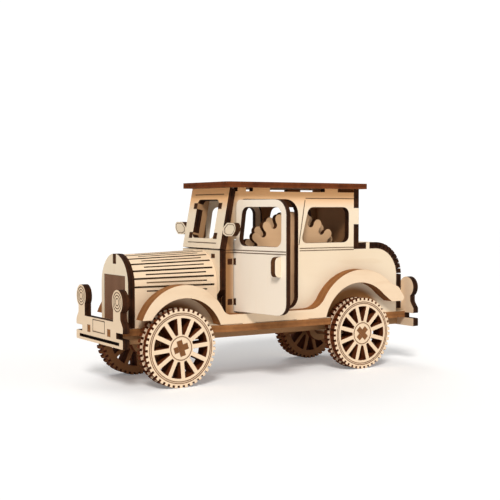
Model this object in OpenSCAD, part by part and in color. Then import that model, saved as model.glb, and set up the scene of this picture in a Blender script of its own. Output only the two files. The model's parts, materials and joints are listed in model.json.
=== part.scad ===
// Vintage car from a laser-cut plywood kit: flat plates held by tabs and slots,
// two bent living-hinge sheets, layered wheels on cross-section axles, and doors that swing.
// Front of the car is -X, its left side is -Y, the ground is z = 0. Millimetres.

/* [Sheet] */
// Thickness of the plywood of the body, the bonnet, the fenders and the chassis
sheet = 2.8; // [2.3:0.1:3.2]
// Thickness of the thinner plywood of the roof, the doors, the gear ornament and the wheels
thin = 2.3; // [2:0.1:2.5]
// Gap between parts that only have to clear each other
gap = 0.4; // [0.3:0.05:0.6]
// Clearance between a tab and its slot, all round
tab_play = 0.05; // [0.03:0.01:0.1]
// Depth of the engraved lines
engrave = 0.3; // [0.15:0.05:0.5]
// Width of the engraved lines
line_w = 0.36; // [0.25:0.05:0.6]

/* [Overall] */
// Length over the bumpers
car_length = 145.8; // [140:0.1:175]
// Height from the ground to the top of the roof
car_height = 79.9; // [76:0.1:96]
// Width of the cabin over its side panels
body_w = 30.6; // [28:0.1:37]

/* [Wheels] */
// Radius over the tread teeth
wheel_r = 15.33; // [14:0.05:16]
// Depth of the gaps between the tread teeth
tread_depth = 1.0; // [0.5:0.1:1.5]
// Number of tread teeth
tread_count = 42; // [30:1:60]
// Number of spokes
spoke_count = 12; // [8:1:16]
// Width of a spoke
spoke_w = 1.7; // [1.2:0.1:2.4]
// Inner radius of the rim
rim_r = 11.7; // [10:0.1:12.4]
// Outer radius of the hub
hub_r = 5.3; // [4.6:0.1:6]
// Width of each axle strip
axle_w = 6.2; // [5.2:0.1:7]
// Running clearance of an axle in its bearing holes
axle_play = 0.08; // [0.05:0.01:0.1]
// Distance from the front bumper face to the front axle
front_axle_in = 24.25; // [23:0.1:27]
// Distance from the rear bumper face to the rear axle
rear_axle_in = 32.65; // [31:0.1:34]

/* [Chassis] */
// Height of the upper face of the floor board
board_top = 22.9; // [21.9:0.1:24]
// How far the running boards stand out past the fenders
board_out = 0.4; // [0.3:0.1:3]
// Gap between the floor board and the wheels beside it
waist_gap = 3.1; // [2:0.1:5]
// Distance from the centre plane to the middle of a rail
rail_y = 9.4; // [7:0.1:10.5]
// Height of the underside of the bumpers
bumper_low = 16.4; // [15.5:0.1:17.5]
// Half-width of the bumpers
bumper_half = 21.8; // [20:0.1:25]

/* [Bonnet] */
// Distance from the bumper face to the radiator face
radiator_in = 6.9; // [6:0.1:10]
// Half-width of the radiator plate, also the radius of its round top
radiator_half = 12.2; // [11:0.1:13]
// Height of the top of the radiator plate
radiator_top = 51.4; // [48:0.1:53]
// Half-width of the bonnet where it meets the scuttle
bonnet_rear_half = 13.2; // [12.6:0.1:14]
// Number of living-hinge cuts over the bonnet
bonnet_cuts = 27; // [15:2:31]
// Width of a living-hinge cut
cut_w = 0.5; // [0.3:0.05:0.7]

/* [Cabin] */
// Distance from the bumper face to the front of the scuttle plate
scuttle_in = 45.9; // [45:0.1:50]
// Height of the waist line, where the windows begin
waist_top = 52.3; // [50:0.1:54]
// Angle by which the windscreen leans back
screen_lean = 11; // [6:0.5:14]
// Distance from the rear bumper face to the back of the cabin
cabin_rear_in = 29.0; // [27:0.1:31]
// Radius of the curved boot on the side panels
boot_r = 12.1; // [8:0.1:14]
// Distance from the rear bumper face to the rear edge of the side panels
boot_in = 7.4; // [6:0.1:9]
// Front overhang of the roof past the windscreen
roof_front = 3.4; // [1:0.1:5]
// Rear overhang of the roof past the rear wall
roof_rear = 2.7; // [0.5:0.1:4]
// Side overhang of the roof past the side panels
roof_side = 3.8; // [2:0.1:5]
// Height of the window sills above the waist line
window_rise = 2.2; // [1.6:0.1:4]
// Distance from the underside of the roof down to the window heads
window_drop = 7.9; // [7:0.1:11]

/* [Doors] */
// Width of a door at its sill
door_w = 31.2; // [29:0.1:32]
// Height of the lower edge of a door
door_low = 27.5; // [27.4:0.1:29]
// Angle at which the left door stands open
door_open = 79; // [0:1:90]
// Radius of the hinge pins
pin_r = 0.6; // [0.4:0.05:0.65]
// Running clearance of a hinge pin in the door
pin_play = 0.05; // [0.03:0.01:0.1]
// Height of the middle of the upper hinge
hinge_high = 47.7; // [44:0.1:49]
// Height of the middle of the lower hinge
hinge_low = 31.4; // [31.2:0.1:36]
// Height of a door handle
handle_h = 7.8; // [6:0.1:10]
// How far a door handle stands out
handle_out = 3.1; // [2:0.1:5]

/* [Fenders] */
// Outer radius of the front fender
front_fender_r = 19.4; // [19:0.1:19.8]
// Radius of the front wheel arch
front_arch_r = 17.0; // [16.8:0.1:17.2]
// Outer radius of the rear fender
rear_fender_r = 23.4; // [22.8:0.1:24]
// Radius of the rear wheel arch
rear_arch_r = 18.7; // [18.2:0.1:19]
// Upper edge of the sill between the fenders
sill_top = 26.9; // [26:0.1:27]

/* [Gear ornament] */
// Outer radius over the fingers
finger_r = 27.4; // [24:0.1:28.5]
// Radius at the bottom of the gaps between the fingers
finger_root = 22.4; // [20:0.1:24]
// Number of fingers round the full circle
finger_count = 23; // [18:1:26]

/* [Hidden] */

face = [0.96, 0.85, 0.68];
shade = [0.90, 0.76, 0.55];
dark = [0.55, 0.33, 0.18];
big = 200;
soft_fn = 6;

// Main stations along the car
bumper_x = car_length / 2;
front_axle_x = -bumper_x + front_axle_in;
rear_axle_x = bumper_x - rear_axle_in;
radiator_x = -bumper_x + radiator_in;
scuttle_x = -bumper_x + scuttle_in;
panel_front = scuttle_x + sheet;
cabin_rear_x = bumper_x - cabin_rear_in;
boot_x = bumper_x - boot_in;

// Main stations across and above the car
body_half = body_w / 2;
panel_in = body_half - sheet;
door_in = body_half - thin;
liner_out = body_half + sheet;
fender_out = body_half + 2 * sheet;
wheel_in = body_half + gap;
wheel_out = wheel_in + 3 * thin;
board_low = board_top - sheet;
roof_low = car_height - thin;
panel_top = roof_low - 1.5;
window_low = waist_top + window_rise;
window_high = roof_low - window_drop;
belt_lines = [waist_top, waist_top - 1];

// Axles: half the diagonal of the crossed strips, the bearings round them, and the angles
// at which the crosses and the spokes stand
axle_r = norm([axle_w, thin]) / 2;
bearing_r = 6.2;
tread_gap = 0.95;
front_cross = 17;
front_phase = 4.5;
rear_cross = 45;
rear_phase = 15;

// Lamps, cut in one piece with the bumpers
lamp_y = bumper_half - 4.8;
lamp_z = bumper_low + 17.5;
lamp_r = 4.6;

// Radiator and bonnet
notch_deep = 4;
grille_half = radiator_half - 2.7;
grille_low = board_top + 2.3;
grille_high = radiator_top - 8.4;
bonnet_z = radiator_top - radiator_half - 0.2;
bonnet_spread = 198;
spine_tab = [front_axle_x - 3, front_axle_x + 3];
spine_key = [board_top + 8, board_top + 14];

// Windscreen: its lower front edge, its length up the slope, and the tabs behind it
screen_x = scuttle_x;
screen_z = waist_top + 0.6;
screen_len = (roof_low - 0.1 - screen_z) / cos(screen_lean);
screen_sill = 4.1;
screen_head = 4.8;
bracket_y = body_half - 5.3;
screen_tabs = [[4, 6.4], [screen_len - 8.7, screen_len - 6.3]];
foot_tab = [waist_top - 3.2, waist_top - 1.6];
mirror_x = scuttle_x + 1.5;

// Door: the hinge axis lies in the middle of the plate, at the centre of its rounded edge
slot_x = panel_front + 0.9;
bracket_w = 2.1;
hinge_x = slot_x + bracket_w + 0.65 + gap + thin / 2;
hinge_y = body_half - thin / 2;
pin_half = 3.3;
arm_w = 1.6;
door_front = hinge_x - thin / 2;
door_rear = door_front + door_w;
door_high = panel_top - 3.5;
door_slant = (door_high - waist_top - 4) * tan(screen_lean + 1.5);
step_z = waist_top + 4;
step_x = hinge_x + (pow(thin / 2, 2) + pow(gap, 2)) / (2 * gap) + 0.05;
handle_x = door_rear - 5.3;
handle_z = waist_top - 5.9;

// Curved boot
boot_cx = boot_x - boot_r;
boot_cz = waist_top + 2 - sheet - boot_r;
boot_step = 4.8;

// Fenders, centred close to the axles
front_fender_c = [front_axle_x + 2.75, wheel_r + 4.77];
front_arch_c = [front_axle_x + 2.75, wheel_r + 2.07];
rear_fender_c = [rear_axle_x + 1.15, wheel_r + 4.07];
rear_arch_c = [rear_axle_x, wheel_r + 3.17];
fender_low = board_top + 0.2;
front_foot = 26.6;
front_blend = 4;
rear_blend = 8.7;
fender_tabs = [[hinge_x - 0.7, hinge_x + 5.5], [door_rear - 4.3, door_rear + 1.9]];
rail_tabs = [[front_axle_x - 10, front_axle_x - 5], [hinge_x + 13.5, hinge_x + 19.5],
    [rear_axle_x + 18, rear_axle_x + 23]];

// Finger plates stand on the floor board
finger_c = [hinge_x + 31.6, board_top + 17.5];
finger_y = body_half - 4.9;
finger_tabs = [[-10, -4], [6, 12]];

// Tabs of the side panels in the roof, in the rear wall and in the boot sheet
roof_tabs = [[pillar_x(panel_top) + 1, pillar_x(panel_top) + 5], [hinge_x + 7.8, hinge_x + 16.2],
    [door_rear + 14.3, door_rear + 21.3]];
wall_tab = [window_low + 7.8, window_low + 14.8];
deck_tab = [cabin_rear_x + 4.1, cabin_rear_x + 6.1];

// ---- outlines ----

function xy(p) = [p[0], p[1]];

function reversed(pts) = [for (i = [len(pts) - 1 : -1 : 0]) pts[i]];

// Points of an arc, in degrees
function arc(c, r, a0, a1, n) = [for (i = [0 : n]) let (a = a0 + (a1 - a0) * i / n)
    c + r * [cos(a), sin(a)]];

// The shorter way round from one angle to another
function turn(a0, a1) = a1 - a0 > 180 ? a1 - a0 - 360 : a1 - a0 < -180 ? a1 - a0 + 360 : a1 - a0;

// Corner q between p and s, rounded with radius r
function round_corner(p, q, s, r) = r <= 0 ? [q] :
    let (u = (p - q) / norm(p - q),
        v = (s - q) / norm(s - q),
        half = acos(u * v) / 2,
        c = q + (u + v) / norm(u + v) * r / sin(half),
        a = q + u * r / tan(half) - c,
        b = q + v * r / tan(half) - c,
        a0 = atan2(a[1], a[0]))
    arc(c, r, a0, a0 + turn(a0, atan2(b[1], b[0])), soft_fn);

// Outline with rounded corners, from a list of [x, y, radius]
function soft(pts) = let (n = len(pts)) [for (i = [0 : n - 1])
    each round_corner(xy(pts[(i + n - 1) % n]), xy(pts[i]), xy(pts[(i + 1) % n]), pts[i][2])];

module box2(x0, y0, x1, y1) {
    translate([x0, y0]) square([x1 - x0, y1 - y0]);
}

module soft_box2(x0, y0, x1, y1, r) {
    polygon(soft([[x0, y0, r], [x1, y0, r], [x1, y1, r], [x0, y1, r]]));
}

module line2(a, b) {
    translate(a)
        rotate(atan2(b[1] - a[1], b[0] - a[0]))
            translate([0, -line_w / 2]) square([norm(b - a), line_w]);
}

module ring2(r) {
    difference() {
        circle(r + line_w / 2, $fn = 64);
        circle(r - line_w / 2, $fn = 64);
    }
}

module frame2(x0, y0, x1, y1) {
    difference() {
        box2(x0, y0, x1, y1);
        box2(x0 + line_w, y0 + line_w, x1 - line_w, y1 - line_w);
    }
}

// ---- plates: a flat outline given its thickness ----

// Outline in X and Z, from y0 towards +Y
module plate_xz(y0, t = sheet) {
    translate([0, y0 + t, 0]) rotate([90, 0, 0]) linear_extrude(t) children();
}

// Outline in Y and Z, from x0 towards +X
module plate_yz(x0, t = sheet) {
    translate([x0, 0, 0]) rotate([90, 0, 90]) linear_extrude(t) children();
}

// Outline in X and Y, from z0 upwards
module plate_xy(z0, t = sheet) {
    translate([0, 0, z0]) linear_extrude(t) children();
}

module both_sides2() {
    children();
    mirror([0, 1]) children();
}

module right_side() {
    mirror([0, 1, 0]) children();
}

// ---- chassis ----

module floor_board() {
    waist = wheel_in - waist_gap;
    edge = fender_out + board_out;
    run_x0 = front_axle_x + wheel_r + 0.1;
    run_x1 = rear_axle_x - wheel_r - 0.1;
    tail_x = rear_axle_x + wheel_r + 1;
    end_x = bumper_x - sheet;
    color(shade) plate_xy(board_low) difference() {
        union() {
            box2(-end_x, -waist, end_x, waist);
            polygon(soft([[run_x0, -edge + 2.6, 0.8], [run_x0 + 6, -edge, 2], [run_x1, -edge, 1],
                [run_x1, edge, 1], [run_x0 + 6, edge, 2], [run_x0, edge - 2.6, 0.8]]));
            box2(tail_x, -body_half - 0.7, end_x, body_half + 0.7);
            for (y = [-rail_y, rail_y]) {
                box2(-bumper_x, y - sheet / 2, bumper_x, y + sheet / 2);
            }
        }
        both_sides2() {
            for (t = fender_tabs) {
                box2(t[0] - tab_play, -fender_out - tab_play, t[1] + tab_play, -liner_out + tab_play);
            }
            for (t = rail_tabs) {
                box2(t[0] - tab_play, -rail_y - sheet / 2 - tab_play,
                    t[1] + tab_play, -rail_y + sheet / 2 + tab_play);
            }
        }
        for (t = finger_tabs) {
            box2(finger_c[0] + t[0] - tab_play, -finger_y - tab_play,
                finger_c[0] + t[1] + tab_play, -finger_y + 2 * thin + tab_play);
        }
        box2(spine_tab[0] - tab_play, -sheet / 2 - tab_play, spine_tab[1] + tab_play, sheet / 2 + tab_play);
    }
}

module rail() {
    color(shade) plate_xz(-rail_y - sheet / 2) difference() {
        union() {
            box2(-bumper_x + sheet, bumper_low + 0.2, bumper_x - sheet, board_low);
            for (x = [front_axle_x, rear_axle_x]) {
                intersection() {
                    translate([x, wheel_r]) circle(bearing_r, $fn = 64);
                    box2(x - bearing_r, 0, x + bearing_r, board_low);
                }
                box2(x - bearing_r, wheel_r, x + bearing_r, board_low);
            }
            for (t = rail_tabs) {
                box2(t[0], board_low, t[1], board_top);
            }
        }
        for (x = [front_axle_x, rear_axle_x]) {
            translate([x, wheel_r]) circle(axle_r + axle_play, $fn = 64);
        }
    }
}

module bumper_half2() {
    bar_top = bumper_low + 3.6;
    body_top = bumper_low + 9.8;
    neck_in = lamp_y - 3.6;
    neck_out = lamp_y + 2.6;
    difference() {
        union() {
            polygon(soft([[0, bumper_low, 0], [bumper_half, bumper_low, 0.5],
                [bumper_half, bar_top, 0.5], [0, bar_top, 0]]));
            box2(0, bar_top - 0.5, bumper_half - 5.8, body_top);
            polygon(soft([[neck_in, bar_top + 2.3, 0], [bumper_half, bar_top + 2.3, 0.5],
                [bumper_half, bar_top + 4.6, 1.4], [neck_out, body_top + 1.2, 2.4],
                [neck_out, lamp_z, 0], [neck_in, lamp_z, 0]]));
            translate([lamp_y, lamp_z]) circle(lamp_r, $fn = 64);
        }
        box2(rail_y - sheet / 2 - tab_play, board_low - tab_play,
            rail_y + sheet / 2 + tab_play, board_top + tab_play);
    }
}

module bumper() {
    color(face) difference() {
        plate_yz(-bumper_x) {
            bumper_half2();
            mirror([1, 0]) bumper_half2();
        }
        plate_yz(-bumper_x - 1, 1 + engrave) {
            for (y = [-lamp_y, lamp_y], r = [1.4, 2.5, 3.6]) {
                translate([y, lamp_z]) ring2(r);
            }
            frame2(-5.7, bumper_low + 4.2, 5.7, bumper_low + 9.2);
        }
        plate_yz(-bumper_x - 1, 1 + sheet / 2)
            box2(3.2 - bumper_half, bumper_low + 1.1, bumper_half - 3.2, bumper_low + 2.3);
    }
}

// ---- bonnet ----

module radiator() {
    pitch = 1.05;
    cz = radiator_top - radiator_half;
    color(face) difference() {
        plate_yz(radiator_x) difference() {
            union() {
                box2(-radiator_half, board_top, radiator_half, cz);
                translate([0, cz]) circle(radiator_half, $fn = 96);
            }
            box2(-sheet / 2 - tab_play, radiator_top - notch_deep, sheet / 2 + tab_play, radiator_top + 1);
        }
        plate_yz(radiator_x - 1, 1 + engrave / 2) box2(-grille_half, grille_low, grille_half, grille_high);
        plate_yz(radiator_x - 1, 1 + engrave * 1.6) {
            for (i = [-8 : 8]) {
                box2(i * pitch - line_w / 2, grille_low, i * pitch + line_w / 2, grille_high);
            }
        }
    }
}

// A bent sheet: a cone over two straight sides, opened by cuts from the front end
// and by shorter cuts between them
module bonnet_sheet() {
    x0 = radiator_x + sheet + tab_play;
    length = scuttle_x - tab_play - x0;
    front = radiator_half - 0.25;
    rear = bonnet_rear_half;
    lean = atan((rear - front) / length);
    step = bonnet_spread / (bonnet_cuts - 1);
    color(face) difference() {
        union() {
            difference() {
                translate([x0, 0, bonnet_z]) rotate([0, 90, 0])
                    cylinder(h = length, r1 = front, r2 = rear, $fn = 96);
                translate([x0, 0, bonnet_z]) rotate([0, 90, 0])
                    cylinder(h = length, r1 = front - sheet, r2 = rear - sheet, $fn = 96);
                translate([x0 - 1, -big / 2, bonnet_z - 0.5 - big]) cube([length + 2, big, big]);
            }
            intersection() {
                translate([x0, -big / 2, board_top + tab_play])
                    cube([length, big, bonnet_z - board_top - tab_play]);
                for (s = [0, 1]) mirror([0, s, 0]) {
                    translate([x0, -front, 0]) rotate([0, 0, -lean])
                        translate([-2, 0, 0]) cube([length + 6, sheet, bonnet_z]);
                }
            }
        }
        for (i = [0 : bonnet_cuts - 1]) {
            open = i % 2 == 1;
            from = open ? -1 : 5.2;
            to = length - (open ? 1.2 : 4.5);
            wide = open ? cut_w + 0.2 : cut_w;
            translate([x0, 0, bonnet_z]) rotate([(i - (bonnet_cuts - 1) / 2) * step, 0, 0])
                translate([from, -wide / 2, front - sheet - 2])
                    cube([to - from, wide, sheet + rear - front + 5]);
        }
    }
}

module bonnet_spine() {
    back = radiator_x + sheet;
    top = bonnet_z + radiator_half - sheet - 0.45;
    tab_low = radiator_top - notch_deep + tab_play;
    color(shade) plate_xz(-sheet / 2) {
        box2(back, board_top, scuttle_x, top);
        box2(radiator_x, tab_low, back, radiator_top - 0.1);
        box2(back - 0.5, tab_low, back + 0.5, top);
        box2(spine_tab[0], board_low, spine_tab[1], board_top + 0.5);
        box2(scuttle_x - 0.5, spine_key[0], panel_front, spine_key[1]);
    }
}

module scuttle() {
    foot = bonnet_rear_half - 1.4;
    cut = waist_top - 15.9;
    color(face) plate_yz(scuttle_x) difference() {
        polygon([[-foot, board_top], [foot, board_top], [foot, cut - 3.4], [body_half, cut],
            [body_half, waist_top], [-body_half, waist_top], [-body_half, cut], [-foot, cut - 3.4]]);
        for (y = [-bracket_y, bracket_y]) {
            box2(y - sheet / 2 - tab_play, foot_tab[0] - tab_play,
                y + sheet / 2 + tab_play, foot_tab[1] + tab_play);
        }
        box2(-sheet / 2 - tab_play, spine_key[0] - tab_play, sheet / 2 + tab_play, spine_key[1] + tab_play);
    }
}

// ---- windscreen ----

module windscreen() {
    color(face) translate([screen_x, 0, screen_z]) rotate([0, screen_lean, 0]) difference() {
        plate_yz(0) difference() {
            box2(-body_half, 0, body_half, screen_len);
            soft_box2(-bracket_y + 1.3, screen_sill, bracket_y - 1.3, screen_len - screen_head, 2.2);
            for (y = [-bracket_y, bracket_y], t = screen_tabs) {
                box2(y - sheet / 2 - tab_play, t[0] - tab_play, y + sheet / 2 + tab_play, t[1] + tab_play);
            }
        }
        plate_yz(-1, 1 + engrave) {
            line2([-bracket_y - 1.6, 2.2], [bracket_y + 1.6, 2.2]);
            line2([-bracket_y - 1.6, screen_len - 2.7], [bracket_y + 1.6, screen_len - 2.7]);
        }
    }
}

// Upright behind the windscreen, with tabs through it and through the scuttle
module screen_bracket() {
    color(shade) plate_xz(-bracket_y - sheet / 2) {
        translate([screen_x, screen_z]) rotate(-screen_lean) {
            box2(sheet + tab_play, 1.8, sheet + 2.6, screen_len - 4);
            for (t = screen_tabs) {
                box2(0, t[0], sheet + 0.5, t[1]);
            }
        }
        box2(panel_front, foot_tab[0] - 0.1, panel_front + 3, waist_top - 0.2);
        polygon([[panel_front + 0.5, waist_top - 0.5], [panel_front + 3, waist_top - 0.5],
            [panel_front + 3.4, waist_top + 4], [panel_front + 1.3, waist_top + 4]]);
        box2(scuttle_x, foot_tab[0], panel_front + 0.5, foot_tab[1]);
    }
}

module mirror_outline2(scale_by) {
    c = [body_half + 6, window_low + 6.2];
    translate([-c[0], c[1]]) scale([-scale_by, scale_by]) translate([-c[0], -c[1]])
        polygon(soft([[body_half, c[1] - 1.8, 0], [body_half, c[1] + 0.6, 0],
            [body_half + 3.1, c[1] + 2.7, 2], [body_half + 9.5, c[1] + 2.7, 1.8],
            [body_half + 9.5, c[1] - 0.4, 2.2], [body_half + 7.1, c[1] - 2.6, 2.2],
            [body_half + 2.2, c[1] - 2.6, 2]]));
}

module mirror_plate() {
    color(face) difference() {
        plate_yz(mirror_x, thin) mirror_outline2(1);
        plate_yz(mirror_x - 1, 1 + engrave) difference() {
            mirror_outline2(0.8);
            mirror_outline2(0.72);
        }
    }
}

// ---- cabin ----

// Position of the windscreen's back face at a height
function pillar_x(z) = screen_x + sheet / cos(screen_lean) + (z - screen_z) * tan(screen_lean) + 0.1;

// The door narrows above the step, or its front edge would foul the pillar as it swings
module door_outline2(grow) {
    x0 = door_front - grow;
    x1 = door_rear + grow;
    z0 = door_low - grow;
    z1 = door_high + grow;
    step = step_x - grow;
    lean_z = z1 - (x0 + door_slant - step) / tan(screen_lean + 1.5);
    polygon(soft([[x0, z0, 0.5 + grow], [x1, z0, 4.6 + grow], [x1, z1, 6 + grow],
        [x0 + door_slant, z1, 2 + grow], [step, lean_z, 2], [step, step_z + grow, 1 - grow],
        [x0, step_z + grow, 0.5 + grow]]));
}

module rear_window2() {
    x0 = door_rear + 1.8;
    x1 = cabin_rear_x - 5.5;
    polygon(soft([[x0, window_low, 2.2], [x1, window_low, 3], [x1, window_high, 3],
        [x0 + 4.1, window_high, 3]]));
}

module side_panel() {
    wall_x = cabin_rear_x - sheet;
    deck = boot_cz + boot_r;
    color(face) difference() {
        plate_xz(-body_half) difference() {
            union() {
                polygon(concat([[panel_front, board_top], [boot_x, board_top]],
                    arc([boot_cx, boot_cz], boot_r, 0, 90, 16),
                    [[wall_x, deck], [wall_x, panel_top], [pillar_x(panel_top), panel_top],
                        [pillar_x(waist_top), waist_top], [panel_front, waist_top]]));
                for (t = roof_tabs) {
                    box2(t[0], panel_top - 0.5, t[1], car_height);
                }
                box2(wall_x - 0.5, wall_tab[0], cabin_rear_x, wall_tab[1]);
                box2(deck_tab[0], deck - 0.5, deck_tab[1], deck + sheet);
            }
            door_outline2(gap);
            rear_window2();
            for (h = [hinge_low, hinge_high]) {
                box2(slot_x - tab_play, h - thin / 2 - tab_play,
                    slot_x + bracket_w + tab_play, h + thin / 2 + tab_play);
            }
        }
        plate_xz(-body_half - 1, 1 + engrave) {
            for (z = belt_lines) {
                line2([panel_front, z], [door_front - gap, z]);
                line2([door_rear + gap + 0.8, z], [wall_x, z]);
            }
            line2([door_rear + 4.2, window_high + 3.7], [wall_x, window_high + 3.7]);
            line2([door_rear + 3.9, window_high + 3], [door_rear + 0.8, waist_top + 1.5]);
        }
    }
}

module roof() {
    x0 = screen_x + screen_len * sin(screen_lean) - roof_front;
    x1 = cabin_rear_x + roof_rear;
    half = body_half + roof_side;
    color(face) plate_xy(roof_low, thin) difference() {
        soft_box2(x0, -half, x1, half, 2.5);
        both_sides2() {
            for (t = roof_tabs) {
                box2(t[0] - tab_play, -body_half - tab_play, t[1] + tab_play, -panel_in + tab_play);
            }
        }
    }
}

module rear_wall() {
    color(face) plate_yz(cabin_rear_x - sheet) difference() {
        box2(-body_half, boot_cz + boot_r, body_half, roof_low);
        for (s = [0, 1]) mirror([s, 0]) {
            box2(panel_in - tab_play, wall_tab[0] - tab_play, body_half + 1, wall_tab[1] + tab_play);
        }
    }
}

// Bent sheet over the boot, with cuts across it where it bends
module boot_sheet() {
    x0 = cabin_rear_x + tab_play;
    c = [boot_cx, boot_cz];
    outer = boot_r + sheet;
    color(face) difference() {
        plate_xz(-body_half, body_w) polygon(concat(
            [[x0, boot_cz + boot_r]], arc(c, boot_r, 90, 0, 24),
            [[boot_x, board_top + 1.4], [boot_x + sheet, board_top + 1.4]],
            arc(c, outer, 0, 90, 24), [[x0, boot_cz + outer]]));
        for (i = [0 : 18]) {
            translate([boot_cx, 0, boot_cz]) rotate([0, -2 - i * boot_step, 0]) {
                if (i % 2 == 0) {
                    for (s = [0, 1]) mirror([0, s, 0])
                        translate([boot_r - 1, 2.5, -cut_w / 2]) cube([sheet + 2, body_half, cut_w]);
                } else {
                    translate([boot_r - 1, -body_half + 2.5, -cut_w / 2]) cube([sheet + 2, body_w - 5, cut_w]);
                }
            }
        }
        for (s = [0, 1]) mirror([0, s, 0]) {
            translate([deck_tab[0] - tab_play, panel_in - tab_play, boot_cz + boot_r - 1])
                cube([deck_tab[1] - deck_tab[0] + 2 * tab_play, sheet + 1, sheet + 2]);
        }
    }
}

// ---- fenders ----

// Centre of the round blend between an arch of radius r and the sill
function blend_c(c, r, blend, side) =
    [c[0] + side * sqrt(pow(r + blend, 2) - pow(sill_top + blend - c[1], 2)), sill_top + blend];

function angle_to(a, b) = atan2(b[1] - a[1], b[0] - a[0]);

function fender_outline() =
    let (fb = blend_c(front_fender_c, front_fender_r, front_blend, 1),
        rb = blend_c(rear_fender_c, rear_fender_r, rear_blend, -1),
        foot_out = 180 - asin((front_foot - front_fender_c[1]) / front_fender_r),
        foot_in = 180 - asin((front_foot - front_arch_c[1]) / front_arch_r),
        arch_end = asin((fender_low - front_arch_c[1]) / front_arch_r),
        rear_foot = 180 - asin((fender_low - rear_arch_c[1]) / rear_arch_r),
        fa = angle_to(front_fender_c, fb),
        ra = angle_to(rear_fender_c, rb),
        tail = rear_fender_c + [23.7, 10.3])
    reversed(concat(
        arc(front_fender_c, front_fender_r, foot_out, fa, 40),
        arc(fb, front_blend, fa + 180, 270, 8),
        arc(rb, rear_blend, 270, 360 + ra - 180, 10),
        arc(rear_fender_c, rear_fender_r, ra, 47, 36),
        arc(rear_fender_c + [18.2, 11.6], 4.2, 60, 25, 5),
        arc(tail - [1.2, 0.1], 1.5, 20, -100, 8),
        [[rear_arch_c[0] + 18, fender_low + 5.1]],
        arc(rear_arch_c, rear_arch_r, 45, rear_foot, 40),
        arc(front_arch_c, front_arch_r, arch_end, foot_in, 40)));

module fender() {
    color(face) plate_xz(-fender_out) {
        polygon(fender_outline());
        for (t = fender_tabs) {
            box2(t[0], board_low, t[1], fender_low + 0.5);
        }
    }
}

module fender_liner() {
    color(shade) plate_xz(-liner_out) polygon(fender_outline());
}

// ---- doors ----

// Turns a closed left door about its hinge
module hung(angle) {
    translate([hinge_x, -hinge_y, 0]) rotate([0, 0, -angle]) translate([-hinge_x, hinge_y, 0]) children();
}

module door() {
    x0 = door_front + 4.4;
    x1 = door_rear - 2.7;
    low = window_low - 0.4;
    knuckle = thin / 2 + 0.25;
    color(face) difference() {
        intersection() {
            plate_xz(-body_half, thin) difference() {
                door_outline2(0);
                polygon(soft([[x0, low, 3], [x1, low, 3], [x1, window_high, 3],
                    [x0 + 2.4, window_high, 3]]));
                for (h = [hinge_low, hinge_high]) {
                    box2(door_front - 1, h - knuckle, hinge_x + thin / 2 + 0.5, h + knuckle);
                }
                box2(handle_x - tab_play, handle_z - 1.5 - tab_play,
                    handle_x + thin + tab_play, handle_z + 1.5 + tab_play);
            }
            union() {
                translate([hinge_x, -big / 2, 0]) cube([big, big, big]);
                translate([hinge_x, -hinge_y, 0]) cylinder(h = big, r = thin / 2, $fn = 48);
            }
        }
        for (h = [hinge_low, hinge_high]) {
            translate([hinge_x, -hinge_y, h - pin_half - 0.2])
                cylinder(h = 2 * pin_half + 0.4, r = pin_r + pin_play, $fn = 32);
        }
        plate_xz(-body_half - 1, 1 + engrave) {
            for (z = belt_lines) {
                line2([hinge_x, z], [door_rear, z]);
            }
        }
    }
}

module door_handle() {
    color(face) plate_yz(handle_x, thin) {
        polygon(soft([[-body_half, handle_z - handle_h / 2, 0],
            [-body_half, handle_z + handle_h / 2, 0],
            [-body_half - handle_out, handle_z + handle_h / 2, 2],
            [-body_half - handle_out, handle_z - handle_h / 2, 2]]));
        box2(-body_half - 0.5, handle_z - 1.5, -door_in, handle_z + 1.5);
    }
}

// Flat hooks through the side panel, each with an eye in the plane of the door
module hinge_brackets() {
    inside = -panel_in + tab_play;
    color(shade) for (h = [hinge_low, hinge_high]) {
        plate_xy(h - thin / 2, thin) difference() {
            union() {
                box2(slot_x, -body_half, slot_x + bracket_w, inside + arm_w);
                box2(slot_x, inside, hinge_x + 1, inside + arm_w);
                box2(hinge_x - 1, -hinge_y, hinge_x + 1, inside + arm_w);
                translate([hinge_x, -hinge_y]) circle(thin / 2 + 0.2, $fn = 48);
            }
            translate([hinge_x, -hinge_y]) circle(pin_r, $fn = 32);
        }
    }
}

module hinge_pins() {
    color(dark) for (h = [hinge_low, hinge_high]) {
        translate([hinge_x, -hinge_y, h - pin_half]) cylinder(h = 2 * pin_half, r = pin_r, $fn = 32);
    }
}

// ---- gear ornament ----

module finger_plate(y0, phase) {
    tip = 1.95;
    valley = 1.5;
    pitch = 360 / finger_count;
    color(shade) plate_xz(y0, thin) {
        intersection() {
            translate(finger_c) rotate(90 + phase) difference() {
                union() {
                    circle(finger_root + valley, $fn = 96);
                    for (i = [0 : finger_count - 1]) rotate(i * pitch) {
                        box2(finger_root - 2, -tip, finger_r - tip, tip);
                        translate([finger_r - tip, 0]) circle(tip, $fn = 32);
                    }
                }
                for (i = [0 : finger_count - 1]) rotate((i + 0.5) * pitch) {
                    translate([finger_root + valley, 0]) circle(valley, $fn = 32);
                }
            }
            box2(-big, board_top, big, big);
        }
        for (t = finger_tabs) {
            box2(finger_c[0] + t[0], board_low, finger_c[0] + t[1], board_top + 0.5);
        }
    }
}

// ---- axles and wheels ----

// One strip of a crossed pair, slotted from one end to the middle
module axle_strip(x, angle, half) {
    slot = thin / 2 + tab_play;
    y0 = half == 0 ? -wheel_out - 1 : -tab_play;
    color(dark) translate([x, 0, wheel_r]) rotate([0, -angle - 90 * half, 0]) difference() {
        translate([-axle_w / 2, -wheel_out, -thin / 2]) cube([axle_w, 2 * wheel_out, thin]);
        translate([-slot, y0, -thin]) cube([2 * slot, wheel_out + 1 + tab_play, 2 * thin]);
    }
}

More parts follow.
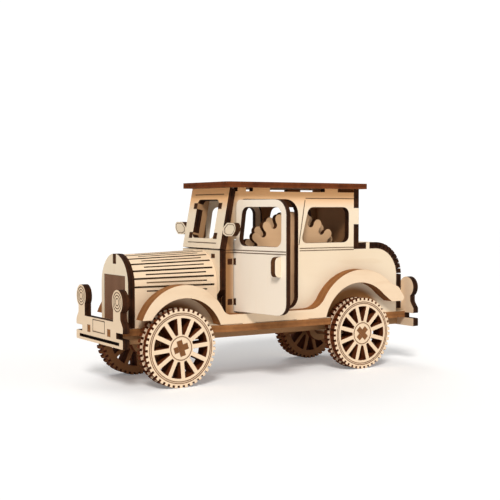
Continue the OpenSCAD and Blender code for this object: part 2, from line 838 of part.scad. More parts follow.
module wheel2(radius, toothed, phase, cross) {
    arm = axle_w / 2 + tab_play;
    thick = thin / 2 + tab_play;
    difference() {
        circle(radius, $fn = 128);
        if (toothed) {
            for (i = [0 : tread_count - 1]) rotate(i * 360 / tread_count) {
                box2(radius - tread_depth, -tread_gap / 2, radius + 1, tread_gap / 2);
            }
        }
        difference() {
            circle(rim_r, $fn = 96);
            circle(hub_r, $fn = 64);
            rotate(phase) for (i = [0 : spoke_count - 1]) rotate(i * 360 / spoke_count) {
                box2(hub_r - 1, -spoke_w / 2, rim_r + 1, spoke_w / 2);
            }
        }
        rotate(cross) {
            box2(-arm, -thick, arm, thick);
            box2(-thick, -arm, thick, arm);
        }
    }
}

// One disc of a left wheel: layer 0 lies next to the body, layer 2 is outermost
module wheel_disc(x, layer, phase, cross) {
    y0 = -wheel_in - (layer + 1) * thin;
    core = layer == 1;
    color(core ? shade : face) difference() {
        translate([x, 0, wheel_r]) plate_xz(y0, thin)
            wheel2(core ? wheel_r - tread_depth - 0.3 : wheel_r, !core, phase, cross);
        if (layer == 2) {
            translate([x, 0, wheel_r]) plate_xz(y0 - 1, 1 + engrave) {
                for (r = [hub_r - 0.75, rim_r + 1.2, rim_r + 1.85]) {
                    ring2(r);
                }
            }
        }
    }
}

// ---- nodes ----

floor_board();
rail();  // rail_left
right_side() rail();  // rail_right
bumper();  // front_bumper
mirror([1, 0, 0]) bumper();  // rear_bumper
radiator();
bonnet_sheet();
bonnet_spine();
scuttle();
windscreen();
screen_bracket();  // screen_bracket_left
right_side() screen_bracket();  // screen_bracket_right
mirror_plate();  // mirror_left
right_side() mirror_plate();  // mirror_right
side_panel();  // side_panel_left
right_side() side_panel();  // side_panel_right
roof();
rear_wall();
boot_sheet();
fender();  // fender_left
right_side() fender();  // fender_right
fender_liner();  // fender_liner_left
right_side() fender_liner();  // fender_liner_right
hung(door_open) door();  // door_left
right_side() door();  // door_right
hung(door_open) door_handle();  // door_handle_left
right_side() door_handle();  // door_handle_right
hinge_brackets();  // hinge_brackets_left
right_side() hinge_brackets();  // hinge_brackets_right
hinge_pins();  // hinge_pins_left
right_side() hinge_pins();  // hinge_pins_right
finger_plate(-finger_y, 1.5);  // finger_plate_near
finger_plate(-finger_y + thin, 1.5 + 180 / finger_count);  // finger_plate_far
axle_strip(front_axle_x, front_cross, 0);  // front_axle_strip_a
axle_strip(front_axle_x, front_cross, 1);  // front_axle_strip_b
axle_strip(rear_axle_x, rear_cross, 0);  // rear_axle_strip_a
axle_strip(rear_axle_x, rear_cross, 1);  // rear_axle_strip_b
wheel_disc(front_axle_x, 2, front_phase, front_cross);  // wheel_fl_outer
wheel_disc(front_axle_x, 1, front_phase, front_cross);  // wheel_fl_core
wheel_disc(front_axle_x, 0, front_phase, front_cross);  // wheel_fl_inner
right_side() wheel_disc(front_axle_x, 2, front_phase, front_cross);  // wheel_fr_outer
right_side() wheel_disc(front_axle_x, 1, front_phase, front_cross);  // wheel_fr_core
right_side() wheel_disc(front_axle_x, 0, front_phase, front_cross);  // wheel_fr_inner
wheel_disc(rear_axle_x, 2, rear_phase, rear_cross);  // wheel_rl_outer
wheel_disc(rear_axle_x, 1, rear_phase, rear_cross);  // wheel_rl_core
wheel_disc(rear_axle_x, 0, rear_phase, rear_cross);  // wheel_rl_inner
right_side() wheel_disc(rear_axle_x, 2, rear_phase, rear_cross);  // wheel_rr_outer
right_side() wheel_disc(rear_axle_x, 1, rear_phase, rear_cross);  // wheel_rr_core
right_side() wheel_disc(rear_axle_x, 0, rear_phase, rear_cross);  // wheel_rr_inner
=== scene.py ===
import math
import json
import bpy
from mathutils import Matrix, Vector


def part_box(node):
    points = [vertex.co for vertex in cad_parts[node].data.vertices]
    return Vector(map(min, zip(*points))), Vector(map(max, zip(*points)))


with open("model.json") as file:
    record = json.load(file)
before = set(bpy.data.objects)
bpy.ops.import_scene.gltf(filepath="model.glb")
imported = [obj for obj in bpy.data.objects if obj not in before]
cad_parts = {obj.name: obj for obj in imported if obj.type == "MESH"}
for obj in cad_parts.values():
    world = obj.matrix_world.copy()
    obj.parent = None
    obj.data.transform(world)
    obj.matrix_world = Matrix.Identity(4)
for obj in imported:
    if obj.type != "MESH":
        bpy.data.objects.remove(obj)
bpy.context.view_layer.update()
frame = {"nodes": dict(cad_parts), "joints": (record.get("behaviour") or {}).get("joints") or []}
print("frame loaded:", len(frame["nodes"]), "nodes")

thickSheet = 0.0028  # plywood of the body, m
thinSheet = 0.0023  # plywood of the roof, doors, gear ornament and wheels, m
lineDepth = 0.0003  # depth of the engraved lines, m
neverReached = 0.5  # a depth past any sheet, m, for pieces without engraving or recess


# short ways to add nodes and link them

def addNode(tree, kind, place, **values):
    node = tree.nodes.new(kind)
    node.location = place
    for name, value in values.items():
        if hasattr(node, name):
            setattr(node, name, value)
    return node


def addMath(tree, operation, place, first, second=None, third=None, clamp=False):
    node = addNode(tree, "ShaderNodeMath", place, operation=operation, use_clamp=clamp)
    for socket, value in zip(node.inputs, (first, second, third)):
        if value is None:
            continue
        if isinstance(value, (int, float)):
            socket.default_value = value
        else:
            tree.links.new(value, socket)
    return node.outputs[0]


def addVectorMath(tree, operation, place, first, second=None):
    node = addNode(tree, "ShaderNodeVectorMath", place, operation=operation)
    for socket, value in zip(node.inputs, (first, second)):
        if value is None:
            continue
        if isinstance(value, (tuple, list)):
            socket.default_value = value
        else:
            tree.links.new(value, socket)
    return node.outputs["Value"] if operation in ("DOT_PRODUCT", "LENGTH") else node.outputs["Vector"]


def addMix(tree, place, factor, first, second, blend="MIX"):
    node = addNode(tree, "ShaderNodeMix", place, data_type="RGBA", blend_type=blend)
    node.clamp_factor = True
    for socket, value in ((node.inputs[0], factor), (node.inputs[6], first), (node.inputs[7], second)):
        if isinstance(value, (int, float)):
            socket.default_value = value
        elif isinstance(value, (tuple, list)):
            socket.default_value = (*value[:3], 1)
        else:
            tree.links.new(value, socket)
    return node.outputs[2]


def addRange(tree, place, value, low, high):
    node = addNode(tree, "ShaderNodeMapRange", place, interpolation_type="SMOOTHSTEP")
    tree.links.new(value, node.inputs["Value"])
    node.inputs["From Min"].default_value = low
    node.inputs["From Max"].default_value = high
    return node.outputs["Result"]


def addNoise(tree, place, vector, scale, detail=3.0, roughness=0.55, distortion=0.0):
    node = addNode(tree, "ShaderNodeTexNoise", place)
    tree.links.new(vector, node.inputs["Vector"])
    node.inputs["Scale"].default_value = scale
    node.inputs["Detail"].default_value = detail
    node.inputs["Roughness"].default_value = roughness
    node.inputs["Distortion"].default_value = distortion
    return node.outputs["Fac"]


def newGroup(name, takes, gives):
    group = bpy.data.node_groups.new(name, "ShaderNodeTree")
    for socketName, kind, value in takes:
        socket = group.interface.new_socket(socketName, in_out="INPUT", socket_type="NodeSocket" + kind)
        socket.default_value = value
    for socketName, kind in gives:
        group.interface.new_socket(socketName, in_out="OUTPUT", socket_type="NodeSocket" + kind)
    entry = addNode(group, "NodeGroupInput", (-1400, 0))
    leave = addNode(group, "NodeGroupOutput", (900, 0))
    return group, entry, leave


# effects that several materials use

def makeGrainGroup():
    # pale basswood: broad soft bands, fine fibres and short flecks, all drawn out along the grain
    group, entry, leave = newGroup("basswoodGrain", [
        ("Place", "Vector", (0, 0, 0)), ("Stretch", "Vector", (1, 1, 1)),
        ("Light", "Color", (1, 1, 1, 1)), ("Dark", "Color", (0.5, 0.4, 0.3, 1)),
        ("Contrast", "Float", 1.0)], [("Color", "Color"), ("Height", "Float")])
    drawn = addVectorMath(group, "MULTIPLY", (-1150, 100), entry.outputs["Place"], entry.outputs["Stretch"])
    bands = addNoise(group, (-900, 300), drawn, 14, 2, 0.5, 0.4)
    fibres = addNoise(group, (-900, 60), drawn, 95, 4, 0.65, 0.2)
    flecks = addNoise(group, (-900, -180), drawn, 210, 1, 0.5)
    cloud = addNoise(group, (-900, -420), entry.outputs["Place"], 22, 3, 0.5)
    bandMask = addRange(group, (-640, 300), bands, 0.38, 0.68)
    fibreMask = addRange(group, (-640, 60), fibres, 0.42, 0.72)
    fleckMask = addRange(group, (-640, -180), flecks, 0.66, 0.74)
    cloudMask = addRange(group, (-640, -420), cloud, 0.35, 0.7)
    mixed = addMath(group, "MULTIPLY_ADD", (-400, 200), bandMask, 0.42,
                    addMath(group, "MULTIPLY", (-400, 60), fibreMask, 0.34))
    mixed = addMath(group, "MULTIPLY_ADD", (-200, 160), cloudMask, 0.22, mixed)
    mixed = addMath(group, "MULTIPLY_ADD", (0, 120), fleckMask, 0.35, mixed)
    mixed = addMath(group, "MULTIPLY", (180, 120), mixed, entry.outputs["Contrast"], clamp=True)
    group.links.new(addMix(group, (400, 160), mixed, entry.outputs["Light"], entry.outputs["Dark"]),
                    leave.inputs["Color"])
    group.links.new(addMath(group, "MULTIPLY_ADD", (180, -120), fibreMask, -0.7, fleckMask),
                    leave.inputs["Height"])
    return group


def makeFlatSheetGroup():
    # how far a point lies under the sheet's outer face, and whether it is on a face or on a cut edge
    group, entry, leave = newGroup("flatSheet", [
        ("Place", "Vector", (0, 0, 0)), ("Normal", "Vector", (0, 0, 1)),
        ("Across", "Vector", (0, 0, 1)), ("Face Level", "Float", 0.0)],
        [("Cut", "Float"), ("Depth", "Float")])
    facing = addMath(group, "ABSOLUTE", (-900, 100), addVectorMath(
        group, "DOT_PRODUCT", (-1100, 100), entry.outputs["Normal"], entry.outputs["Across"]))
    cut = addMath(group, "SUBTRACT", (-500, 100), 1.0, addRange(group, (-700, 100), facing, 0.60, 0.82))
    level = addVectorMath(group, "DOT_PRODUCT", (-1100, -150), entry.outputs["Place"],
                          entry.outputs["Across"])
    depth = addMath(group, "SUBTRACT", (-700, -150), entry.outputs["Face Level"], level)
    group.links.new(cut, leave.inputs["Cut"])
    group.links.new(depth, leave.inputs["Depth"])
    return group


def makeBentSheetGroup():
    # the same for a sheet bent round an axis: only what lies past Bend From is curved
    group, entry, leave = newGroup("bentSheet", [
        ("Place", "Vector", (0, 0, 0)), ("Normal", "Vector", (0, 0, 1)),
        ("Bend From", "Vector", (0, 0, 0)), ("Either Side", "Vector", (0, 0, 0)),
        ("Past", "Vector", (0, 0, 1)), ("Outer Radius", "Float", 0.01)],
        [("Cut", "Float"), ("Depth", "Float")])
    away = addVectorMath(group, "SUBTRACT", (-1200, 0), entry.outputs["Place"], entry.outputs["Bend From"])
    past = addVectorMath(group, "MULTIPLY", (-850, -150), addVectorMath(
        group, "MAXIMUM", (-1000, -150), away, (0, 0, 0)), entry.outputs["Past"])
    side = addVectorMath(group, "MULTIPLY", (-1000, 120), away, entry.outputs["Either Side"])
    out = addVectorMath(group, "ADD", (-650, 0), side, past)
    across = addVectorMath(group, "NORMALIZE", (-450, 100), out)
    facing = addMath(group, "ABSOLUTE", (-50, 100), addVectorMath(
        group, "DOT_PRODUCT", (-250, 100), entry.outputs["Normal"], across))
    cut = addMath(group, "SUBTRACT", (350, 100), 1.0, addRange(group, (150, 100), facing, 0.60, 0.82))
    depth = addMath(group, "SUBTRACT", (150, -150), entry.outputs["Outer Radius"],
                    addVectorMath(group, "LENGTH", (-250, -150), out))
    group.links.new(cut, leave.inputs["Cut"])
    group.links.new(depth, leave.inputs["Depth"])
    return group


def makeBurnAndShadeGroup():
    # what the laser leaves: charred edges with the plies showing through, and a smoke line beside them
    # this group also paints shade: the Back colour darkens the inner face of each sheet
    group, entry, leave = newGroup("laserBurnAndInnerShade", [
        ("Place", "Vector", (0, 0, 0)), ("Normal", "Vector", (0, 0, 1)), ("Wood", "Color", (1, 1, 1, 1)),
        ("Cut", "Float", 0.0), ("Depth", "Float", 0.0), ("Engraved Depth", "Float", lineDepth),
        ("Char", "Color", (0.05, 0.02, 0.01, 1)), ("Scorch", "Color", (0.3, 0.12, 0.04, 1)),
        ("Char Amount", "Float", 0.6), ("Smoke Amount", "Float", 0.7), ("Smoke Width", "Float", 0.0003),
        ("Line", "Color", (0.3, 0.15, 0.07, 1)), ("Recess", "Color", (0.3, 0.16, 0.09, 1)),
        ("Recess Depth", "Float", neverReached), ("Thickness", "Float", thickSheet),
        ("Back", "Color", (0.6, 0.4, 0.3, 1))],
        [("Color", "Color"), ("Roughness", "Float"), ("Height", "Float")])
    put = entry.outputs
    patches = addNoise(group, (-950, 620), put["Place"], 120, 3, 0.6)
    soot = addNoise(group, (-950, 400), put["Place"], 620, 2, 0.6)
    through = addMath(group, "DIVIDE", (-920, 820), put["Depth"], put["Thickness"])
    plies = addMath(group, "ABSOLUTE", (-600, 760), addMath(group, "SUBTRACT", (-760, 760), through, 0.5))
    middlePly = addMath(group, "SUBTRACT", (-260, 760), 1.0, addRange(group, (-430, 760), plies, 0.13, 0.2))
    charMask = addMath(group, "MULTIPLY_ADD", (-600, 560), patches, 0.9, addMath(
        group, "MULTIPLY", (-760, 480), soot, 0.35))
    charMask = addMath(group, "ADD", (-420, 560), charMask, addMath(
        group, "SUBTRACT", (-600, 400), put["Char Amount"], 0.62), clamp=True)
    charMask = addMath(group, "MULTIPLY_ADD", (-240, 560), middlePly, 0.14, charMask, clamp=True)
    edgeColor = addMix(group, (0, 560), charMask, put["Scorch"], put["Char"])
    bevel = addNode(group, "ShaderNodeBevel", (-1100, -250), samples=6)
    group.links.new(put["Smoke Width"], bevel.inputs["Radius"])
    geometry = addNode(group, "ShaderNodeNewGeometry", (-1100, -450))
    kept = addVectorMath(group, "DOT_PRODUCT", (-850, -300), bevel.outputs["Normal"],
                         geometry.outputs["True Normal"])
    nearEdge = addMath(group, "SUBTRACT", (-480, -300), 1.0, addRange(group, (-660, -300), kept, 0.80, 0.995))
    nearEdge = addMath(group, "MULTIPLY", (-300, -300), nearEdge, addMath(
        group, "MULTIPLY_ADD", (-480, -480), patches, 0.9, 0.4), clamp=True)
    smoke = addMath(group, "MULTIPLY", (-120, -300), nearEdge, put["Smoke Amount"], clamp=True)
    stainedAndShaded = addMix(group, (60, -200), smoke, put["Wood"], put["Scorch"])
    offLine = addMath(group, "ABSOLUTE", (-660, 60), addMath(
        group, "SUBTRACT", (-850, 60), put["Depth"], put["Engraved Depth"]))
    engraved = addMath(group, "SUBTRACT", (-300, 60), 1.0, addRange(
        group, (-480, 60), offLine, 0.00008, 0.00013))
    lineColor = addMix(group, (60, 120), addMath(group, "MULTIPLY", (-120, 60), soot, 0.5),
                       put["Line"], put["Scorch"])
    offFloor = addMath(group, "ABSOLUTE", (-660, 220), addMath(
        group, "SUBTRACT", (-850, 220), put["Depth"], put["Recess Depth"]))
    sunk = addMath(group, "SUBTRACT", (-300, 220), 1.0, addRange(
        group, (-480, 220), offFloor, 0.00007, 0.0001))
    stainedAndShaded = addMix(group, (120, -200), sunk, stainedAndShaded, put["Recess"])
    # painted shade: points near the sheet's inner face are multiplied by the Back colour
    inside = addRange(group, (-100, -600), through, 0.9, 0.97)
    stainedAndShaded = addMix(group, (240, -300), inside, stainedAndShaded, put["Back"], "MULTIPLY")
    faceColor = addMix(group, (300, 0), addMath(group, "MULTIPLY", (180, -60), engraved, 0.85),
                       stainedAndShaded, lineColor)
    group.links.new(addMix(group, (600, 200), put["Cut"], faceColor, edgeColor), leave.inputs["Color"])
    group.links.new(addMath(group, "MULTIPLY_ADD", (600, -100), put["Cut"], 0.2, 0.66),
                    leave.inputs["Roughness"])
    group.links.new(addMath(group, "MULTIPLY", (600, -300), put["Cut"], soot), leave.inputs["Height"])
    return group


grainGroup = makeGrainGroup()
flatSheetGroup = makeFlatSheetGroup()
bentSheetGroup = makeBentSheetGroup()
burnAndShadeGroup = makeBurnAndShadeGroup()
print("shader groups made")


# the plywood and the shade painted on it unless a piece says otherwise: by default the painted shade under
# the roof, ahead of the doors and in the wheel arches lies out of reach
woodTones = {
    "light": (0.93, 0.79, 0.60), "dark": (0.84, 0.66, 0.45), "contrast": 0.7,
    "char": (0.022, 0.008, 0.004), "scorch": (0.22, 0.085, 0.028),
    "charAmount": 0.7, "smokeAmount": 0.6, "smokeWidth": 0.00026, "engraved": lineDepth,
    "line": (0.36, 0.19, 0.09), "recess": (0.30, 0.155, 0.09), "recessDepth": neverReached,
    "thickness": thickSheet, "warmFrom": 1.0, "warm": (0.98, 0.66, 0.40), "back": (1, 1, 1),
    "doorShadeTo": -1.0, "doorShade": (0.40, 0.24, 0.13), "archCentre": (0, 0, 1), "archRadius": 0.01,
    "archShade": (0.36, 0.19, 0.08), "roofShadeBlend": 0.008, "doorShadeBlend": 0.006, "archBlend": 0.004,
}
# painted shade: the colour that darkens the inner faces of the sheets
inShade = {"back": (0.36, 0.21, 0.12)}
fineLine = {"line": (0.50, 0.29, 0.15)}
# painted shade: a darker copy of the wood, for the rails and screen brackets that lie in shade
shadedWood = {"light": (0.46, 0.26, 0.125), "dark": (0.34, 0.18, 0.085)}
warmWood = {"light": (0.91, 0.71, 0.50), "dark": (0.76, 0.53, 0.33)}
blackEdge = {"char": (0.012, 0.004, 0.0015), "scorch": (0.12, 0.038, 0.012), "charAmount": 0.74}
redEdge = {"char": (0.055, 0.012, 0.003), "scorch": (0.29, 0.075, 0.020), "charAmount": 0.6}
brownEdge = {"char": (0.11, 0.042, 0.016), "scorch": (0.36, 0.16, 0.06), "charAmount": 0.5}
tanEdge = {"char": (0.13, 0.045, 0.014), "scorch": (0.44, 0.19, 0.065), "charAmount": 0.42}


def placeGroup(tree, group, place, **values):
    node = addNode(tree, "ShaderNodeGroup", place)
    node.node_tree = group
    for name, value in values.items():
        socket = node.inputs[name.replace("_", " ")]
        if isinstance(value, bpy.types.NodeSocket):
            tree.links.new(value, socket)
        elif socket.type == "RGBA":
            socket.default_value = (*value, 1)
        else:
            socket.default_value = value
    return node


def makePly(name, across=None, faceLevel=0.0, bend=None, grain=(1, 1, 1), shift=(0, 0, 0), **changes):
    tones = {**woodTones, **changes}
    material = bpy.data.materials.new(name)
    material.use_nodes = True
    tree = material.node_tree
    tree.nodes.clear()
    result = addNode(tree, "ShaderNodeOutputMaterial", (900, 0))
    surface = addNode(tree, "ShaderNodeBsdfPrincipled", (600, 0))
    tree.links.new(surface.outputs["BSDF"], result.inputs["Surface"])
    place = addNode(tree, "ShaderNodeTexCoord", (-1100, 0))
    moved = addVectorMath(tree, "ADD", (-850, 250), place.outputs["Object"], shift)
    wood = placeGroup(tree, grainGroup, (-500, 250), Place=moved, Stretch=grain,
                      Light=tones["light"], Dark=tones["dark"], Contrast=tones["contrast"])
    if bend:
        shape = placeGroup(tree, bentSheetGroup, (-500, -100), Place=place.outputs["Object"],
                           Normal=place.outputs["Normal"], **bend)
    else:
        shape = placeGroup(tree, flatSheetGroup, (-500, -100), Place=place.outputs["Object"],
                           Normal=place.outputs["Normal"], Across=across, Face_Level=faceLevel)
    # shade painted on the wood, which no lamp makes: high up, ahead of the doors, in the wheel arches
    along = addNode(tree, "ShaderNodeSeparateXYZ", (-700, 500))
    tree.links.new(place.outputs["Object"], along.inputs[0])
    shaded = addRange(tree, (-500, 500), along.outputs["Z"], tones["warmFrom"],
                      tones["warmFrom"] + tones["roofShadeBlend"])
    toned = addMix(tree, (-300, 400), shaded, wood.outputs["Color"], tones["warm"], "MULTIPLY")
    ahead = addRange(tree, (-500, 700), along.outputs["X"], tones["doorShadeTo"] - tones["doorShadeBlend"],
                     tones["doorShadeTo"])
    darkened = addMix(tree, (-300, 700), 1.0, toned, tones["doorShade"], "MULTIPLY")
    toned = addMix(tree, (-200, 600), ahead, darkened, toned)
    fromArch = addVectorMath(tree, "LENGTH", (-700, 900), addVectorMath(
        tree, "MULTIPLY", (-850, 900), addVectorMath(
            tree, "SUBTRACT", (-1000, 900), place.outputs["Object"], tones["archCentre"]), (1, 0, 1)))
    clear = addRange(tree, (-500, 900), fromArch, tones["archRadius"] - tones["archBlend"],
                     tones["archRadius"])
    darkened = addMix(tree, (-200, 900), 1.0, toned, tones["archShade"], "MULTIPLY")
    toned = addMix(tree, (-100, 800), clear, darkened, toned)
    burnAndShade = placeGroup(tree, burnAndShadeGroup, (-150, 0), Place=moved, Normal=place.outputs["Normal"],
                      Wood=toned, Cut=shape.outputs["Cut"], Depth=shape.outputs["Depth"],
                      Engraved_Depth=tones["engraved"], Char=tones["char"], Scorch=tones["scorch"],
                      Char_Amount=tones["charAmount"], Smoke_Amount=tones["smokeAmount"],
                      Smoke_Width=tones["smokeWidth"], Line=tones["line"], Recess=tones["recess"],
                      Recess_Depth=tones["recessDepth"], Thickness=tones["thickness"], Back=tones["back"])
    relief = addNode(tree, "ShaderNodeBump", (300, -250))
    relief.inputs["Strength"].default_value = 0.35
    relief.inputs["Distance"].default_value = 0.00012
    tree.links.new(addMath(tree, "MULTIPLY_ADD", (120, -300), wood.outputs["Height"], 0.5,
                           burnAndShade.outputs["Height"]), relief.inputs["Height"])
    tree.links.new(burnAndShade.outputs["Color"], surface.inputs["Base Color"])
    tree.links.new(burnAndShade.outputs["Roughness"], surface.inputs["Roughness"])
    tree.links.new(relief.outputs["Normal"], surface.inputs["Normal"])
    surface.inputs["Specular IOR Level"].default_value = 0.12
    return material


def dress(material, *nodes):
    for node in nodes:
        mesh = frame["nodes"][node].data
        if not mesh.materials:
            mesh.materials.append(material)
        for index in range(len(mesh.materials)):
            mesh.materials[index] = material


alongX = (0.16, 1.0, 1.0)
alongY = (1.0, 0.16, 1.0)
alongZ = (1.0, 1.0, 0.16)


def levelOf(node, direction):
    # how far the outer face of a node lies along a direction
    low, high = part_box(node)
    return sum(d * (high[i] if d > 0 else low[i]) for i, d in enumerate(direction))


# where the painted shade inside each wheel arch lies: centre and radius, m
frontArch = {"archCentre": (-0.0459, 0, 0.0174), "archRadius": 0.017}
rearArch = {"archCentre": (0.04025, 0, 0.0185), "archRadius": 0.0187}
sidePieces = {
    # painted shade on the side panels: orange high up under the roof, darker ahead of the doors and inside
    # the rear arch
    "side_panel": {"grain": alongX, "warmFrom": 0.0675, "doorShadeTo": -0.0170,
                   **rearArch, **blackEdge, **inShade},
    "fender": {"grain": alongX, **tanEdge, **warmWood, **inShade},
    "fender_liner": {"grain": alongX, **tanEdge, **inShade},
    # painted shade: rails and screen brackets get a darker copy of the wood
    "rail": {"grain": alongX, **redEdge, **shadedWood},
    "screen_bracket": {"grain": alongZ, **shadedWood},
}
for piece, look in sidePieces.items():
    for side, sign in (("left", -1), ("right", 1)):
        node = piece + "_" + side
        across = (0, sign, 0)
        shift = (0.01 * len(piece), 0.3 * sign, 0)
        dress(makePly("ply_" + node, across, levelOf(node, across), shift=shift, **look), node)

bumperLook = {"grain": alongY, "recess": (0.02, 0.008, 0.004), "recessDepth": thickSheet / 2,
              **warmWood, **blackEdge, **fineLine}
mirrorLook = {"grain": alongY, "thickness": thinSheet, **fineLine}
endPieces = {
    "front_bumper": {"out": -1, **bumperLook}, "rear_bumper": {"out": 1, **bumperLook},
    "scuttle": {"out": -1, "grain": alongY, **blackEdge, **inShade},
    # painted shade: the rear wall turns orange high up, under the roof
    "rear_wall": {"out": 1, "grain": alongY, "warmFrom": 0.0675, **blackEdge, **inShade},
    "mirror_left": {"out": -1, **mirrorLook}, "mirror_right": {"out": -1, **mirrorLook},
    "door_handle_right": {"out": 1, "grain": alongZ, "thickness": thinSheet},
}
for node, look in endPieces.items():
    across = (look.pop("out"), 0, 0)
    shift = (0, 0.01 * len(node), 0.2)
    dress(makePly("ply_" + node, across, levelOf(node, across), shift=shift, **look), node)

bracketLook = {"grain": alongX, "thickness": thinSheet, **blackEdge}
levelPieces = {
    "floor_board": {"grain": alongX, **tanEdge, **inShade},
    "roof": {"grain": alongX, "thickness": thinSheet, **redEdge, **inShade},
    "hinge_brackets_left": bracketLook, "hinge_brackets_right": bracketLook,
}
for node, look in levelPieces.items():
    dress(makePly("ply_" + node, (0, 0, 1), levelOf(node, (0, 0, 1)), shift=(0.4, 0, 0.1), **look), node)

# painted shade: a darker copy of the wood for the bonnet spine and the finger plates inside the body
innerShadedWood = {"light": (0.66, 0.42, 0.235), "dark": (0.50, 0.29, 0.15)}
middlePieces = {"bonnet_spine": 0, "finger_plate_near": 1, "finger_plate_far": 2}
for node, order in middlePieces.items():
    across = (0, -1, 0)
    dress(makePly("ply_" + node, across, levelOf(node, across), grain=alongX, shift=(0.2 * order, 0, 0),
                  thickness=thinSheet if order else thickSheet, **innerShadedWood), node)
print("flat pieces dressed")

radiatorLook = {"grain": alongZ, "engraved": 1.6 * lineDepth, "line": (0.07, 0.03, 0.017),
                "recessDepth": lineDepth / 2, **blackEdge}
dress(makePly("ply_radiator", (-1, 0, 0), levelOf("radiator", (-1, 0, 0)), **radiatorLook), "radiator")

screenLean = 11  # degrees
leanAngle = math.radians(screenLean)
screenOut = (-math.cos(leanAngle), 0, math.sin(leanAngle))
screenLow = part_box("windscreen")[0]
screenFoot = Vector((screenLow[0], 0, screenLow[2] + thickSheet * math.sin(leanAngle)))
# painted shade: the windscreen turns orange high up, under the roof
dress(makePly("ply_windscreen", screenOut, screenFoot.dot(Vector(screenOut)), grain=alongY,
              warmFrom=0.0665, **blackEdge), "windscreen")

hinge = [j for j in frame["joints"] if j["name"] == "door_left_hinge"][0]
openAngle = math.radians(hinge["range_deg"][1])
doorOut = (-math.sin(openAngle), -math.cos(openAngle), 0)
doorFace = Vector(hinge["pos_m"]).dot(Vector(doorOut)) + thinSheet / 2
handleOut = (math.cos(openAngle), -math.sin(openAngle), 0)
doorLook = {"grain": alongZ, "thickness": thinSheet, **blackEdge}
# painted light: a paler copy of the wood for the open left door alone, as if more brightly lit
litWood = {"light": (0.98, 0.87, 0.73), "dark": (0.92, 0.77, 0.59)}
dress(makePly("ply_door_left", doorOut, doorFace, **doorLook, **litWood), "door_left")
dress(makePly("ply_door_handle_left", handleOut, 0.0, grain=alongZ, engraved=neverReached),
      "door_handle_left")
dress(makePly("ply_door_right", (0, 1, 0), levelOf("door_right", (0, 1, 0)), **doorLook), "door_right")

boardLow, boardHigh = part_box("bonnet_sheet")
bonnetRadius = (boardHigh[1] - boardLow[1]) / 2
bonnetBend = {"Bend_From": (0, 0, boardHigh[2] - bonnetRadius), "Either_Side": (0, 1, 0),
              "Past": (0, 0, 1), "Outer_Radius": bonnetRadius}
# painted shade inside the front wheel arch on the bonnet sheet
dress(makePly("ply_bonnet_sheet", bend=bonnetBend, grain=alongX, engraved=neverReached,
              **frontArch, **warmWood), "bonnet_sheet")

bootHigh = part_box("boot_sheet")[1]
bootInside = 0.0121
bootRadius = bootInside + thickSheet
bootBend = {"Bend_From": (bootHigh[0] - bootRadius, 0, bootHigh[2] - bootRadius), "Either_Side": (0, 0, 0),
            "Past": (1, 0, 1), "Outer_Radius": bootRadius}
dress(makePly("ply_boot_sheet", bend=bootBend, grain=alongY, engraved=neverReached, **blackEdge),
      "boot_sheet")

for wheel in ("fl", "fr", "rl", "rr"):
    sign = -1 if wheel[1] == "l" else 1
    for disc in ("outer", "core", "inner"):
        node = "wheel_" + wheel + "_" + disc
        dress(makePly("ply_" + node, (0, sign, 0), levelOf(node, (0, sign, 0)), grain=alongX,
                      shift=(0.05 * len(disc), 0, 0.3 * (wheel[0] == "f")),
                      engraved=lineDepth if disc == "outer" else neverReached, thickness=thinSheet,
                      **redEdge, **warmWood, **inShade, **fineLine), node)

stripAngles = {"front_axle_strip_a": 17, "front_axle_strip_b": 107,
               "rear_axle_strip_a": 45, "rear_axle_strip_b": 135}
for node, degrees in stripAngles.items():
    turn = math.radians(degrees)
    dress(makePly("ply_" + node, (-math.sin(turn), 0, math.cos(turn)), 0.0, grain=alongY,
                  engraved=neverReached, **brownEdge), node)
dress(makePly("ply_hinge_pins", (0, 0, 1), 0.0, grain=alongZ, engraved=neverReached, charAmount=0.1,
              char=(0.20, 0.10, 0.05), scorch=(0.55, 0.36, 0.2)), "hinge_pins_left", "hinge_pins_right")
print("all wood dressed")


# floor, light and camera

def makePlain(name, color, roughness, lift):
    material = bpy.data.materials.new(name)
    material.use_nodes = True
    tree = material.node_tree
    surface = tree.nodes["Principled BSDF"]
    place = addNode(tree, "ShaderNodeTexCoord", (-800, 0))
    cloud = addNoise(tree, (-600, 0), place.outputs["Object"], 3.0, 2)
    tint = addMix(tree, (-300, 0), cloud, color, tuple(c * 0.985 for c in color))
    tree.links.new(tint, surface.inputs["Base Color"])
    surface.inputs["Roughness"].default_value = roughness
    surface.inputs["Specular IOR Level"].default_value = 0.1
    sight = addNode(tree, "ShaderNodeLightPath", (-600, -300))
    glow = addMix(tree, (-300, -300), sight.outputs["Is Camera Ray"], (0, 0, 0), (lift, lift, lift))
    tree.links.new(glow, surface.inputs["Emission Color"])
    surface.inputs["Emission Strength"].default_value = 1.0
    return material


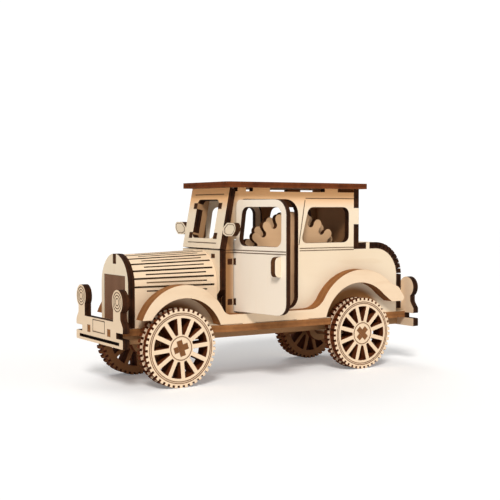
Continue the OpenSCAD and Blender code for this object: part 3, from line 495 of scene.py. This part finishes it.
floorLook = {"size": 6.0, "color": (0.94, 0.94, 0.94), "roughness": 0.9, "lift": 0.17}
half = floorLook["size"] / 2
floorMesh = bpy.data.meshes.new("floor")
corners = [(-half, -half, 0), (half, -half, 0), (half, half, 0), (-half, half, 0)]
floorMesh.from_pydata(corners, [], [(0, 1, 2, 3)])
floor = bpy.data.objects.new("floor", floorMesh)
floor.data.materials.append(makePlain("pale_floor", floorLook["color"], floorLook["roughness"],
                                     floorLook["lift"]))
bpy.context.scene.collection.objects.link(floor)

world = bpy.data.worlds.new("studio")
bpy.context.scene.world = world
world.use_nodes = True
worldLook = {"seen": 1.05, "lit": 0.30}
backdrop = world.node_tree.nodes["Background"]
backdrop.inputs["Color"].default_value = (1.0, 1.0, 1.0, 1)
sight = addNode(world.node_tree, "ShaderNodeLightPath", (-700, 0))
strength = addMath(world.node_tree, "MULTIPLY_ADD", (-300, 0), sight.outputs["Is Camera Ray"],
                   worldLook["seen"] - worldLook["lit"], worldLook["lit"])
world.node_tree.links.new(strength, backdrop.inputs["Strength"])

lamps = {
    "key": {"place": (-0.55, -0.75, 0.85), "power": 2.2, "spread": 16, "color": (1.0, 0.975, 0.94)},
    "fill": {"place": (0.7, -0.6, 0.35), "power": 0.5, "spread": 40, "color": (1.0, 0.98, 0.96)},
    "back": {"place": (0.2, 0.8, 0.9), "power": 0.6, "spread": 30, "color": (1.0, 1.0, 1.0)},
}
aim = Vector((0, 0, 0.035))
for name, look in lamps.items():
    data = bpy.data.lights.new(name, "SUN")
    data.energy = look["power"]
    data.angle = math.radians(look["spread"])
    data.color = look["color"]
    lamp = bpy.data.objects.new(name, data)
    lamp.location = look["place"]
    lamp.rotation_euler = (aim - lamp.location).to_track_quat("-Z", "Y").to_euler()
    bpy.context.scene.collection.objects.link(lamp)

cameraLook = {"place": (-0.23416, -0.36162, 0.06825), "tilt": -2.24, "turn": -32.607, "lens": 72.6}
cameraData = bpy.data.cameras.new("camera")
cameraData.lens = cameraLook["lens"]
cameraData.sensor_width = 36
cameraData.clip_start = 0.01
cameraData.clip_end = 20
camera = bpy.data.objects.new("camera", cameraData)
camera.location = cameraLook["place"]
camera.rotation_euler = (math.radians(90 + cameraLook["tilt"]), 0, math.radians(cameraLook["turn"]))
bpy.context.scene.collection.objects.link(camera)
bpy.context.scene.camera = camera
bpy.context.scene.view_settings.view_transform = "Standard"
print("stage, lights and camera set")
